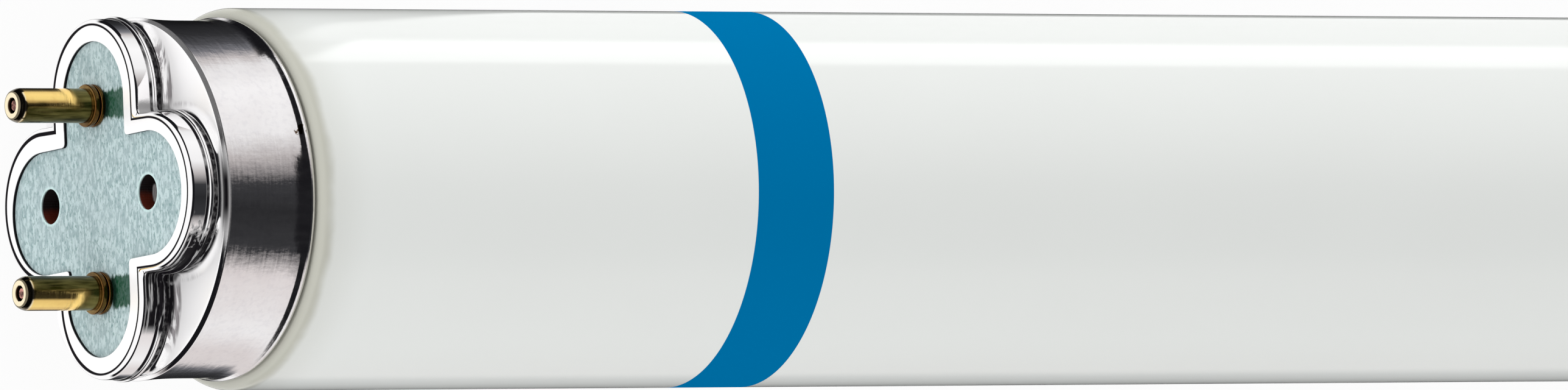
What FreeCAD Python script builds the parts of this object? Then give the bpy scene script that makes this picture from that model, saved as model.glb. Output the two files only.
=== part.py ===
import FreeCAD, Part
import math
import os

import Sketcher

# Fluorescent lamp, 26 mm glass with a two-pin cap at each end.
# The lamp lies along X, the pins of each cap stand in a row along Y, and the origin is its middle.
# Each piece of a cap is drawn from its own front plane inwards along +X, so the far end is the
# same piece turned half round about Z.

SIZES = [
    ("face_length", 589.8, "from cap front to cap front"),
    ("glass_radius", 13.0, "outside of the glass tube"),
    ("glass_bevel", 0.6, "bevel from the glass shoulder to the tube"),
    ("glass_end_depth", 4.6, "cap front to the end of the glass"),
    ("glass_end_bevel", 2.2, "bevel at the end of the glass"),
    ("shoulder_gap", 0.05, "rolled rim to glass shoulder"),
    ("cement_gap", 0.6, "glass neck to the inside of the cap, filled with cement"),
    ("sheet_gauge", 0.25, "thickness of the drawn cap"),
    ("cap_inset", 0.7, "how far the cap's shoulder lies inside the glass tube's radius"),
    ("shoulder_bevel", 0.3, "bevel from the ring face to the skirt"),
    ("waist_inset", 0.15, "how far the waist lies inside the shoulder"),
    ("waist_depth", 6.2, "cap front to the waist"),
    ("cap_depth", 9.97, "cap front to the back of the rim"),
    ("flare_length", 1.07, "start of the flare to the back of the rim"),
    ("rim_flare", 0.4, "how far the rim stands out from the waist"),
    ("rim_length", 0.45, "length of the turned-over rim along the axis"),
    ("rim_thickness", 0.42, "thickness of the turned-over rim"),
    ("rim_bevel", 0.13, "bevel at the back of the rim"),
    ("boss_half_width", 5.3, "half the width of an arm of the cross"),
    ("lobe_inset", 0.1, "end of an arm to the shoulder's radius"),
    ("boss_height", 2.75, "cap front to the flat ring face"),
    ("boss_corner", 0.3, "inside corner of the cross"),
    ("edge_bevel", 0.18, "bevel of the front edge"),
    ("step_start", 1.45, "cap front to the draw step in the wall"),
    ("step_out", 0.15, "how far the step stands out"),
    ("foot_start", 2.0, "cap front to the flared foot of the wall"),
    ("foot_out", 0.75, "how far the foot flares out"),
    ("lip_width", 1.22, "lip turned in over the plate, along an arm's side"),
    ("lip_extra", 0.15, "how much wider the lip is at an arm's end"),
    ("opening_drop", 0.26, "lip's opening stands off the axis along -Y"),
    ("opening_side", 0.05, "lip's opening stands off the axis along +Z"),
    ("plate_thickness", 1.6, "insulating plate"),
    ("plate_gap", 0.05, "plate edge to cap wall"),
    ("hole_clearance", 0.025, "pin to the hole punched in the plate"),
    ("pin_spacing", 12.7, "pin centre to pin centre"),
    ("pin_reach", 6.35, "cap front to pin tip"),
    ("pin_radius", 1.175, "outside of a pin"),
    ("pin_wall", 0.375, "wall of a pin"),
    ("tip_lip", 0.28, "flat ring round the hole at the tip"),
    ("tip_height", 0.42, "length of the closed-in tip outside"),
    ("tip_depth", 0.75, "length of the closed-in tip inside"),
    ("collar_length", 0.8, "two-bead collar in front of the plate"),
    ("collar_out", 0.285, "how far the beads stand out from the pin"),
    ("collar_groove", 0.12, "depth of the groove between the beads"),
    ("head_overlap", 0.4, "pin's spread head beyond the plate's hole"),
    ("head_height", 0.35, "thickness of the spread head"),
    ("wire_radius", 0.34, "lead-in wire"),
    ("wire_clearance", 0.04, "wire to the hole at the pin's tip"),
    ("wire_recess", 0.2, "pin tip to the end of its wire"),
]

# sizes that follow from those above
SHOULDER = "( glass_radius - cap_inset )"
RING_EDGE = f"( {SHOULDER} - shoulder_bevel )"
WAIST = f"( {SHOULDER} - waist_inset )"
FLARE_DEPTH = "( cap_depth - flare_length )"
SKIRT_INSIDE = f"( {WAIST} - sheet_gauge )"
RIM = f"( {WAIST} + rim_flare )"
NECK = f"( {SKIRT_INSIDE} - cement_gap )"
LOBE_CENTRE = f"( {SHOULDER} - lobe_inset - boss_half_width )"
HOLE = "( pin_radius + hole_clearance )"
TIP_HOLE = "( wire_radius + wire_clearance )"


def sheet_of_sizes(doc):
    """Write every driving dimension into one spreadsheet, each cell with an alias."""
    sizes = doc.addObject("Spreadsheet::Sheet", "Sizes")
    for row, (alias, number, note) in enumerate(SIZES, start=1):
        sizes.set(f"A{row}", note)
        sizes.set(f"B{row}", str(number))
        sizes.setAlias(f"B{row}", alias)
    doc.recompute()
    return sizes


def sized(text):
    """Turn 'boss_height - sheet_gauge' into an expression on the spreadsheet's cells."""
    words = text.replace("(", " ( ").replace(")", " ) ").split()
    known = {alias for alias, number, note in SIZES}
    return " ".join(f"Sizes.{word}" if word in known else word for word in words)


def amount(holder, text):
    """The present value of such an expression."""
    found = holder.evalExpression(sized(text))
    return float(getattr(found, "Value", found))


def new_body(doc, label):
    body = doc.addObject("PartDesign::Body", label)
    body.Label = label
    return body


def new_sketch(body, name, role, depth="0", turn=0.0, shift=("0", "0")):
    """A sketch on one of the body's own origin planes, moved along the plane's normal by depth."""
    sketch = body.newObject("Sketcher::SketchObject", name)
    plane = [item for item in body.Origin.OriginFeatures if item.Role == role][0]
    sketch.AttachmentSupport = [(plane, "")]
    sketch.MapMode = "FlatFace"
    sketch.AttachmentOffset = FreeCAD.Placement(
        FreeCAD.Vector(0, 0, 0), FreeCAD.Rotation(FreeCAD.Vector(0, 0, 1), turn))
    for axis, text in zip("xyz", (shift[0], shift[1], depth)):
        if text != "0":
            sketch.setExpression(f"AttachmentOffset.Base.{axis}", f"({sized(text)}) * 1 mm")
    return sketch


def bind(sketch, constraint, name, text):
    """Add a named dimension to a sketch and tie it to the spreadsheet."""
    index = sketch.addConstraint(constraint)
    sketch.renameConstraint(index, name)
    sketch.setExpression(f"Constraints.{name}", sized(text))


def hold_point(sketch, line, name, along, out):
    """Fix the first point of a line at its distance along the axis and its radius."""
    if along == "0":
        sketch.addConstraint(Sketcher.Constraint("PointOnObject", line, 1, -2))
    else:
        bind(sketch, Sketcher.Constraint("DistanceX", -1, 1, line, 1, amount(sketch, along)),
             name + "_along", along)
    if out == "0":
        sketch.addConstraint(Sketcher.Constraint("PointOnObject", line, 1, -1))
    else:
        bind(sketch, Sketcher.Constraint("DistanceY", -1, 1, line, 1, amount(sketch, out)),
             name + "_radius", out)


def turned_outline(body, name, corners):
    """Closed outline for a turned piece: corners are (name, distance along the axis, radius)."""
    sketch = new_sketch(body, name, "XY_Plane")
    count = len(corners)
    points = [FreeCAD.Vector(amount(sketch, along), amount(sketch, out), 0)
              for corner, along, out in corners]
    for i in range(count):
        sketch.addGeometry(Part.LineSegment(points[i], points[(i + 1) % count]), False)
    for i in range(count):
        sketch.addConstraint(Sketcher.Constraint("Coincident", i, 2, (i + 1) % count, 1))
    for i, (corner, along, out) in enumerate(corners):
        hold_point(sketch, i, corner, along, out)
    return sketch


def revolve(body, name, sketch, kind="PartDesign::Revolution"):
    feature = body.newObject(kind, name)
    feature.Profile = sketch
    feature.ReferenceAxis = (sketch, ["H_Axis"])
    feature.Angle = 360
    return feature


def slot_sketch(body, name, depth, half_width, centre, turn, shift=("0", "0")):
    """An arm pair of the cross: a straight slot with round ends, through the lamp's axis."""
    sketch = new_sketch(body, name, "YZ_Plane", depth, turn, shift)
    reach = amount(sketch, centre)
    half = amount(sketch, half_width)
    up = FreeCAD.Vector(0, 0, 1)
    right = Part.Circle(FreeCAD.Vector(reach, 0, 0), up, half)
    left = Part.Circle(FreeCAD.Vector(-reach, 0, 0), up, half)
    quarter = math.pi / 2
    sketch.addGeometry(Part.ArcOfCircle(right, -quarter, quarter), False)
    sketch.addGeometry(Part.LineSegment(FreeCAD.Vector(reach, half, 0),
                                        FreeCAD.Vector(-reach, half, 0)), False)
    sketch.addGeometry(Part.ArcOfCircle(left, quarter, 3 * quarter), False)
    sketch.addGeometry(Part.LineSegment(FreeCAD.Vector(-reach, -half, 0),
                                        FreeCAD.Vector(reach, -half, 0)), False)
    for first, end, second, start in ((0, 2, 1, 1), (1, 2, 2, 1), (2, 2, 3, 1), (3, 2, 0, 1)):
        sketch.addConstraint(Sketcher.Constraint("Tangent", first, end, second, start))
    sketch.addConstraint(Sketcher.Constraint("PointOnObject", 0, 3, -1))
    sketch.addConstraint(Sketcher.Constraint("PointOnObject", 2, 3, -1))
    bind(sketch, Sketcher.Constraint("DistanceX", -1, 1, 0, 3, reach), "right_centre", centre)
    bind(sketch, Sketcher.Constraint("DistanceX", 2, 3, -1, 1, reach), "left_centre", centre)
    bind(sketch, Sketcher.Constraint("Radius", 0, half), "half_width", half_width)
    return sketch


ARMS = (("upright", 0.0), ("level", 90.0))


def cross_pad(body, name, depth, length, half_width, centre, shift=("0", "0")):
    """Two crossing slots raised into a solid cross, from depth inwards."""
    for arm, turn in ARMS:
        pad = body.newObject("PartDesign::Pad", f"{name}_{arm}")
        pad.Profile = slot_sketch(body, f"{name}_{arm}_outline", depth, half_width, centre,
                                  turn, shift)
        pad.setExpression("Length", sized(length))


def cross_foot(body, name, start, end, half_width, spread, centre):
    """The wall's flared foot: each slot widens by spread between start and end."""
    for arm, turn in ARMS:
        loft = body.newObject("PartDesign::AdditiveLoft", f"{name}_{arm}")
        loft.Profile = slot_sketch(body, f"{name}_{arm}_top", start, half_width, centre, turn)
        loft.Sections = [slot_sketch(body, f"{name}_{arm}_foot", end, f"{half_width} + {spread}",
                                     centre, turn)]
        loft.Ruled = True


def edges_where(feature, wanted):
    """Names of the feature's edges whose middle point satisfies a test."""
    names = []
    for index, edge in enumerate(feature.Shape.Edges, start=1):
        if wanted(edge.valueAt((edge.FirstParameter + edge.LastParameter) / 2)):
            names.append(f"Edge{index}")
    return names


def dressed(body, name, kind, feature, wanted, prop, text):
    """A fillet or chamfer on the edges that the test picks."""
    dress = body.newObject(kind, name)
    dress.Base = (feature, edges_where(feature, wanted))
    dress.setExpression(prop, sized(text))
    return dress


def near(first, second, slack=1e-4):
    return abs(first - second) < slack


def place(body, end, along, across="0"):
    """Seat a piece at the near end (-X) or, turned half round about Z, at the far end (+X)."""
    side = -1 if end == "near" else 1
    turn = 0.0 if end == "near" else 180.0
    body.Placement = FreeCAD.Placement(FreeCAD.Vector(0, 0, 0),
                                       FreeCAD.Rotation(FreeCAD.Vector(0, 0, 1), turn))
    body.setExpression("Placement.Base.x", f"({sized(along)}) * {side} mm")
    if across != "0":
        body.setExpression("Placement.Base.y", f"({sized(across)}) * 1 mm")


def glass_tube(doc):
    """Sealed glass tube, one solid: drawn in at both ends to seat in the caps."""
    body = new_body(doc, "glass_tube")
    length = "( face_length - glass_end_depth * 2 )"
    shoulder = "( cap_depth + shoulder_gap - glass_end_depth )"
    half = [
        ("axis", "0", "0"),
        ("end", "0", f"{NECK} - glass_end_bevel"),
        ("neck", "glass_end_bevel", NECK),
        ("root", shoulder, NECK),
        ("shoulder", shoulder, "glass_radius - glass_bevel"),
        ("tube", f"{shoulder} + glass_bevel", "glass_radius"),
    ]
    near_half = [(f"near_{corner}", along, out) for corner, along, out in half]
    far_half = [(f"far_{corner}", length if along == "0" else f"{length} - ( {along} )", out)
                for corner, along, out in reversed(half)]
    revolve(body, "blown_tube", turned_outline(body, "glass_outline", near_half + far_half))
    place(body, "near", "face_length / 2 - glass_end_depth")


def stepped_foot(body):
    """Draw step and flared foot of the boss wall, which run out where the ring face ends."""
    cross_foot(body, "foot", "foot_start", "boss_height", "boss_half_width + step_out", "foot_out",
               LOBE_CENTRE)
    cross_pad(body, "step", "step_start", "boss_height - step_start", "boss_half_width + step_out",
              LOBE_CENTRE)
    clear = f"{SHOULDER} + foot_out + boss_height"
    trim = turned_outline(body, "run_out_outline", [
        ("front_in", "step_start - sheet_gauge", RING_EDGE),
        ("front_out", "step_start - sheet_gauge", clear),
        ("back_out", "boss_height", clear),
        ("back_in", "boss_height", RING_EDGE),
    ])
    revolve(body, "run_out", trim, "PartDesign::Groove")


def cap_blank(doc):
    """The cap's outer form: thin turned skirt with a turned-over rim, and a solid cross-shaped boss."""
    body = new_body(doc, "cap_blank")
    skirt = turned_outline(body, "skirt_outline", [
        ("face_front", "boss_height", "boss_half_width"),
        ("face_edge", "boss_height", RING_EDGE),
        ("shoulder", "boss_height + shoulder_bevel", SHOULDER),
        ("waist", "waist_depth", WAIST),
        ("flare", FLARE_DEPTH, WAIST),
        ("rim_front", "cap_depth - rim_length", RIM),
        ("rim_crest", "cap_depth - rim_bevel", RIM),
        ("rim_back", "cap_depth", f"{RIM} - rim_bevel"),
        ("rim_inside", "cap_depth", f"{RIM} - rim_thickness"),
        ("flare_inside", FLARE_DEPTH, SKIRT_INSIDE),
        ("waist_inside", "waist_depth", SKIRT_INSIDE),
        ("shoulder_inside", "boss_height + sheet_gauge", f"{SHOULDER} - sheet_gauge"),
        ("face_back", "boss_height + sheet_gauge", "boss_half_width"),
    ])
    revolve(body, "skirt", skirt)
    stepped_foot(body)
    cross_pad(body, "boss", "0", "boss_height + sheet_gauge", "boss_half_width", LOBE_CENTRE)
    doc.recompute()
    step = amount(body, "step_start")
    cornered = dressed(body, "boss_corners", "PartDesign::Fillet", body.Tip,
                       lambda p: near(abs(p.y), abs(p.z)) and near(p.x, step / 2),
                       "Radius", "boss_corner")
    doc.recompute()
    dressed(body, "front_edge", "PartDesign::Chamfer", cornered, lambda p: near(p.x, 0),
            "Size", "edge_bevel")
    return body


def cap_hollow(doc):
    """What is open in the cap's boss: its inside, one sheet in, and the lip's opening."""
    body = new_body(doc, "cap_hollow")
    cross_pad(body, "inside", "sheet_gauge", "boss_height * 2", "boss_half_width - sheet_gauge",
              LOBE_CENTRE)
    cross_pad(body, "opening", "-1 * sheet_gauge", "sheet_gauge * 3",
              "boss_half_width - lip_width", f"{LOBE_CENTRE} - lip_extra",
              ("-1 * opening_drop", "opening_side"))
    return body


def cap_shell(doc, end, blank, hollow):
    """Cap drawn from thin sheet: cross-shaped boss with a turned-in lip, waisted skirt, turned rim."""
    shell = doc.addObject("Part::Cut", f"cap_shell_{end}")
    shell.Label = f"cap_shell_{end}"
    shell.Base = blank
    shell.Tool = hollow
    place(shell, end, "face_length / 2")


def insulating_plate(doc, end):
    """Cross-shaped board held under the cap's lip, punched with four like holes."""
    body = new_body(doc, f"insulating_plate_{end}")
    cross_pad(body, "board", "0", "plate_thickness", "boss_half_width - sheet_gauge - plate_gap",
              LOBE_CENTRE)
    hole = new_sketch(body, "hole_outline", "YZ_Plane")
    spot = FreeCAD.Vector(amount(hole, "pin_spacing / 2"), 0, 0)
    radius = amount(hole, HOLE)
    hole.addGeometry(Part.Circle(spot, FreeCAD.Vector(0, 0, 1), radius), False)
    hole.addConstraint(Sketcher.Constraint("PointOnObject", 0, 3, -1))
    bind(hole, Sketcher.Constraint("DistanceX", -1, 1, 0, 3, spot.x), "offset", "pin_spacing / 2")
    bind(hole, Sketcher.Constraint("Radius", 0, radius), "radius", HOLE)
    punch = body.newObject("PartDesign::Pocket", "punched_hole")
    punch.Profile = hole
    punch.Reversed = True
    punch.setExpression("Length", sized("plate_thickness"))
    doc.recompute()
    holes = body.newObject("PartDesign::PolarPattern", "four_holes")
    holes.Originals = [punch]
    holes.Axis = (hole, ["N_Axis"])
    holes.Angle = 360
    holes.Occurrences = 4
    body.Tip = holes
    place(body, end, "face_length / 2 - sheet_gauge")


def pin(doc, end, side):
    """Hollow brass pin: closed-in tip, two-bead collar in front of the plate, spread head behind."""
    body = new_body(doc, f"pin_{end}_{side}")
    front = "( pin_reach + sheet_gauge )"
    back = f"( {front} + plate_thickness )"
    tail = f"{back} + head_height"
    bead = "( pin_radius + collar_out )"
    head = f"( {HOLE} + head_overlap )"
    bore = "( pin_radius - pin_wall )"
    outline = turned_outline(body, "pin_outline", [
        ("hole_edge", "0", TIP_HOLE),
        ("tip_edge", "0", f"{TIP_HOLE} + tip_lip"),
        ("barrel_front", "tip_height", "pin_radius"),
        ("barrel_end", f"{front} - collar_length", "pin_radius"),
        ("front_bead", f"{front} - collar_length * 2 / 3", bead),
        ("groove", f"{front} - collar_length / 3", f"{bead} - collar_groove"),
        ("back_bead", front, bead),
        ("shank_front", front, "pin_radius"),
        ("shank_end", back, "pin_radius"),
        ("head_front", back, head),
        ("head_back", tail, head),
        ("bore_end", tail, bore),
        ("bore_front", "tip_depth", bore),
        ("hole_end", "tip_depth", TIP_HOLE),
    ])
    revolve(body, "drawn_pin", outline)
    across = "pin_spacing / 2" if side == "upper" else "-1 * pin_spacing / 2"
    place(body, end, "face_length / 2 + pin_reach", across)


def lead_wire(doc, end, side):
    """Wire from the sealed end of the glass through a pin to its tip."""
    wire = doc.addObject("Part::Cylinder", f"lead_wire_{end}_{side}")
    wire.Label = f"lead_wire_{end}_{side}"
    wire.setExpression("Radius", sized("wire_radius"))
    wire.setExpression("Height", sized("pin_reach + glass_end_depth - wire_recess"))
    heading = -1 if end == "far" else 1
    wire.Placement = FreeCAD.Placement(FreeCAD.Vector(0, 0, 0),
                                       FreeCAD.Rotation(FreeCAD.Vector(0, 1, 0), 90 * heading))
    tip = sized("face_length / 2 + pin_reach - wire_recess")
    wire.setExpression("Placement.Base.x", f"({tip}) * {-heading} mm")
    way = 1 if side == "upper" else -1
    wire.setExpression("Placement.Base.y", f"({sized('pin_spacing / 2')}) * {way} mm")


def cement_ring(doc, end):
    """Basing cement between the glass neck and the straight stretch of the cap's skirt."""
    body = new_body(doc, f"cement_ring_{end}")
    length = f"{FLARE_DEPTH} - waist_depth"
    outline = turned_outline(body, "cement_outline", [
        ("front_in", "0", NECK),
        ("front_out", "0", SKIRT_INSIDE),
        ("back_out", length, SKIRT_INSIDE),
        ("back_in", length, NECK),
    ])
    revolve(body, "cement", outline)
    place(body, end, "face_length / 2 - waist_depth")


def build(doc):
    """Make every piece and return them."""
    sheet_of_sizes(doc)
    glass_tube(doc)
    blank = cap_blank(doc)
    hollow = cap_hollow(doc)
    for end in ("near", "far"):
        cap_shell(doc, end, blank, hollow)
        insulating_plate(doc, end)
        cement_ring(doc, end)
        for side in ("upper", "lower"):
            pin(doc, end, side)
            lead_wire(doc, end, side)
    doc.recompute()
    return [item for item in doc.Objects if item not in (blank, hollow)
            and item.TypeId in ("PartDesign::Body", "Part::Cut", "Part::Cylinder")]


def check(doc, pieces):
    """Stop on a failed object or on a shape that isn't one valid solid."""
    for item in doc.Objects:
        if "Invalid" in item.State or "Error" in item.State:
            raise RuntimeError(f"{item.Name} failed: {item.State}")
    for piece in pieces:
        shape = piece.Shape
        if shape.isNull() or not shape.isValid() or len(shape.Solids) != 1:
            raise RuntimeError(f"{piece.Label} is not one valid solid")


def write(pieces):
    os.makedirs("parts", exist_ok=True)
    for piece in pieces:
        piece.Shape.exportStep(f"parts/{piece.Label}.step")
        print(piece.Label, round(piece.Shape.Volume, 3))


def main():
    doc = FreeCAD.newDocument("fluorescent_lamp")
    pieces = build(doc)
    check(doc, pieces)
    write(pieces)


main()
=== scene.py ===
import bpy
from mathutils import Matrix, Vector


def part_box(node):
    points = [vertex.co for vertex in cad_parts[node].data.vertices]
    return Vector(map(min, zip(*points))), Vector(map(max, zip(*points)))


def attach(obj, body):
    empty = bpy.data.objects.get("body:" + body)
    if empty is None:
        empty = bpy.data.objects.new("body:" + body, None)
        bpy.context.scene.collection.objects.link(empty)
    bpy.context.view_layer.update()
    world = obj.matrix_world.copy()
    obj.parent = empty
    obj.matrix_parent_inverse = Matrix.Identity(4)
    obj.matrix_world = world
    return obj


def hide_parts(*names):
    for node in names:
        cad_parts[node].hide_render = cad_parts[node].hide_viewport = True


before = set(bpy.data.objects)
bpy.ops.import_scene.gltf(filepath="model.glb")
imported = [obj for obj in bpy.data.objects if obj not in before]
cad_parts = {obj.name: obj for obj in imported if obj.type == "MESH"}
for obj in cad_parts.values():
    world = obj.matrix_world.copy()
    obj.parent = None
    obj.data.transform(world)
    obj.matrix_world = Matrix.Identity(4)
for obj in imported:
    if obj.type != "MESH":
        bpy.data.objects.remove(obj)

from types import SimpleNamespace

import bpy
import numpy as np
from bpy.props import FloatProperty, FloatVectorProperty, IntProperty, PointerProperty
from mathutils import Matrix, Vector

bl_info = {
    "name": "Fluorescent lamp",
    "version": (1, 0, 0),
    "blender": (4, 5, 0),
    "location": "View3D > Sidebar > Lamp",
    "description": "Dresses a two-pin fluorescent lamp: caps, pins, glass, boards, wires and studio",
    "category": "Object",
}

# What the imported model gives, in metres: half the length from cap front to cap front, the glass
# tube's radius, the height of a pin's centre above the lamp's axis, and half the length from pin
# tip to pin tip and from glass end to glass end.
FRONT = -float(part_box("cap_shell_near")[0][0])
GLASS_RADIUS = float(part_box("glass_tube")[1][1])
PIN_HEIGHT = float(sum(corner[1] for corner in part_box("pin_near_upper")) / 2)
PIN_TIP = -float(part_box("pin_near_upper")[0][0])
GLASS_END = -float(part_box("glass_tube")[0][0])

ENDS = {"near": -1, "far": 1}
SIDES = {"upper": 1, "lower": -1}
MM = 0.001


def number(amount, description, **more):
    return FloatProperty(description=description, default=amount, **more)


def length(millimetres, description):
    """A size in metres, given here in millimetres."""
    return number(millimetres * MM, description, unit="LENGTH", precision=5)


def pair(upright, level, description):
    """A size for each arm of the cross, in millimetres here too."""
    return FloatVectorProperty(description=description, default=(upright * MM, level * MM), size=2,
                               unit="LENGTH", precision=5)


def count(amount, description):
    return IntProperty(description=description, default=amount)


def colour(red, green, blue, description):
    return FloatVectorProperty(description=description, default=(red, green, blue),
                               subtype="COLOR", size=3, min=0.0, max=1.0)


class LampCap(bpy.types.PropertyGroup):
    """Sizes of the drawn aluminium cap."""
    gauge: length(0.25, "Thickness of the drawn sheet")
    arm_half_width: length(5.38, "Half the width of an arm of the cross-shaped boss")
    lobe_centre: length(6.84, "Lamp's axis to the centre of an arm's round end")
    corner_blend: length(0.55, "Softness of the inside corners of the boss")
    edge_round: length(0.36, "Round between the front strip and the boss wall")
    lip_round: length(0.05, "Round on the cut edge of the lip")
    opening_width: pair(3.92, 4.18, "Half widths of the lip's opening, upright and level arms")
    opening_reach: pair(6.78, 6.85, "Centres of the opening's round ends")
    opening_blend: length(0.5, "Softness of the inside corners of the opening")
    opening_aside: pair(0.05, 0.26, "How far the opening's arms lie off Y and off Z")
    opening_turn: FloatVectorProperty(description="Turn of the opening's arms", size=2,
                                      default=(0.01, -0.028), unit="ROTATION")
    crimp: length(0.55, "How far one side of the lower lobe is pressed outwards")
    bead_start: length(1.4, "Cap front to the bead in the boss wall")
    bead_end: length(2.05, "Cap front to the end of that bead")
    bead_out: length(0.16, "How far the bead stands out")
    groove_in: length(0.1, "Depth of the groove behind the bead")
    foot_start: length(2.17, "Cap front to the flared foot")
    foot_out: length(0.66, "How far the foot flares out")
    ring_depth: length(2.75, "Cap front to the flat ring face")
    shoulder_radius: length(12.3, "Outside of the skirt's shoulder")
    bevel: length(0.3, "Steep cone between the ring face and the skirt")
    bevel_round: length(0.08, "Round before that cone; the one after it is twice this")
    waist_radius: length(12.13, "Narrowest part of the skirt")
    waist_depth: length(6.4, "Cap front to the waist")
    flare_depth: length(8.2, "Cap front to the start of the flare")
    kink_depth: length(9.1, "Cap front to where the flare turns steep")
    kink_radius: length(12.23, "Radius of the skirt there")
    flare_radius: length(12.32, "Where the steep cone meets the rolled rim")
    rim_depth: length(9.97, "Cap front to the back of the rim")
    rim_roll: length(0.42, "Radius of the rolled rim's section")
    columns: count(640, "Points round the cap")


class LampGlass(bpy.types.PropertyGroup):
    """Sizes of the glass tube."""
    neck_radius: length(11.3, "Drawn-in end that seats in the cap")
    end_round: length(2.6, "Round at the very end of the glass")
    shoulder_start: length(10.02, "Cap front to where the glass swells out")
    shoulder_round: length(0.75, "Round from the shoulder to the tube")
    ring_start: length(46.2, "Cap front to the printed blue ring, on the axis")
    ring_width: length(6.2, "Width of the printed blue ring")
    ring_lean: number(-0.077, "How far askew the blue ring is, along Z")
    ring_twist: number(0.03, "How far askew the blue ring is, along Y")
    # width of the darker yellowish glass beside the cap
    tint_width: length(1.1, "Glass beside the cap with thin powder")
    columns: count(192, "Points round the glass")


class LampPin(bpy.types.PropertyGroup):
    """Sizes of a contact pin and its wire."""
    radius: length(1.175, "Outside of a pin")
    tip_radius: length(0.98, "Flat ring at the tip")
    tip_length: length(0.45, "Length of the rounded tip")
    hole_radius: length(0.46, "Hole at the tip")
    chamfer: length(0.12, "Chamfer round that hole")
    bore_radius: length(0.8, "Inside of a pin")
    bore_start: length(0.75, "Pin tip to the wide bore")
    front_length: length(6.6, "Pin tip to the board")
    collar_length: length(0.86, "Length of the two-bead collar")
    collar_radius: length(1.46, "Outside of the beads")
    board: length(1.6, "Thickness of the board that the pin passes through")
    head_radius: length(1.6, "Spread head behind the board")
    head_length: length(0.35, "Thickness of that head")
    columns: count(96, "Points round a pin")


class LampColours(bpy.types.PropertyGroup):
    """Colours of the lamp's finishes."""
    powder: colour(0.8, 0.82, 0.8, "White powder coat seen through the glass")
    # darker yellowish grey of the glass beside the caps
    bare: colour(0.5, 0.5, 0.44, "Glass beside the caps")
    ring: colour(0.0, 0.162, 0.385, "Printed blue ring")
    front_metal: colour(0.98, 0.97, 0.975, "Aluminium of the boss and ring face")
    skirt_metal: colour(0.93, 0.91, 0.915, "Aluminium of the skirt")
    board: colour(0.325, 0.43, 0.445, "Insulating board")
    # painted shadow of each pin on the board
    board_shadow: colour(0.0, 0.05, 0.018, "Stain on the board beside the pins")
    brass: colour(1.0, 0.72, 0.24, "Bright brass of the pins")
    tarnish: colour(0.17, 0.075, 0.02, "Darker brass of the collars")
    copper: colour(0.75, 0.36, 0.3, "Lead-in wire")
    cement: colour(0.11, 0.045, 0.02, "Basing cement and the inside of the cap")


class LampStage(bpy.types.PropertyGroup):
    """Camera and light."""
    distance: number(1.1788, "Camera to the board, along its axis", unit="LENGTH")
    lens: number(400.0, "Focal length in millimetres")
    turn: number(np.radians(58.7), "Angle between the lamp and the line of sight", subtype="ANGLE")
    roll: number(np.radians(4.5), "Turn of the lamp about its own axis", subtype="ANGLE")
    sky: number(0.78, "Level of the light from all round")
    key: number(7.0, "Power of the soft lamp, in watts")


# Shader maths

class Field:
    """A number or colour that changes over a surface: one output socket of a shader node."""

    def __init__(self, paint, socket):
        self.paint = paint
        self.socket = socket

    def __add__(self, other):
        return self.paint.math("ADD", self, other)

    def __sub__(self, other):
        return self.paint.math("SUBTRACT", self, other)

    def __rsub__(self, other):
        return self.paint.math("SUBTRACT", other, self)

    def __mul__(self, other):
        return self.paint.math("MULTIPLY", self, other)

    def __abs__(self):
        return self.paint.math("ABSOLUTE", self)

    __radd__ = __add__
    __rmul__ = __mul__

    def rise(self, low, high, start=0.0, end=1.0):
        """Smooth step from start to end while this goes from low to high."""
        sockets = {"Value": self, "From Min": low, "From Max": high, "To Min": start, "To Max": end}
        return self.paint.node("ShaderNodeMapRange", {"interpolation_type": "SMOOTHSTEP"}, sockets)

    def step(self, low, high, start=0.0, end=1.0, at=0.0):
        """The same for a length, with low and high in millimetres past the place called at."""
        return self.rise(at + low * MM, at + high * MM, start, end)

    def between(self, start, full, fade, stop, at=0.0):
        """1 while a length lies from full to fade, and 0 before start and after stop."""
        return self.step(start, full, at=at) * self.step(stop, fade, at=at)

    def frayed(self, noise, width):
        """A length made uneven by noise, over a width in millimetres."""
        return self + (noise - 0.5) * (width * MM)


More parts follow.
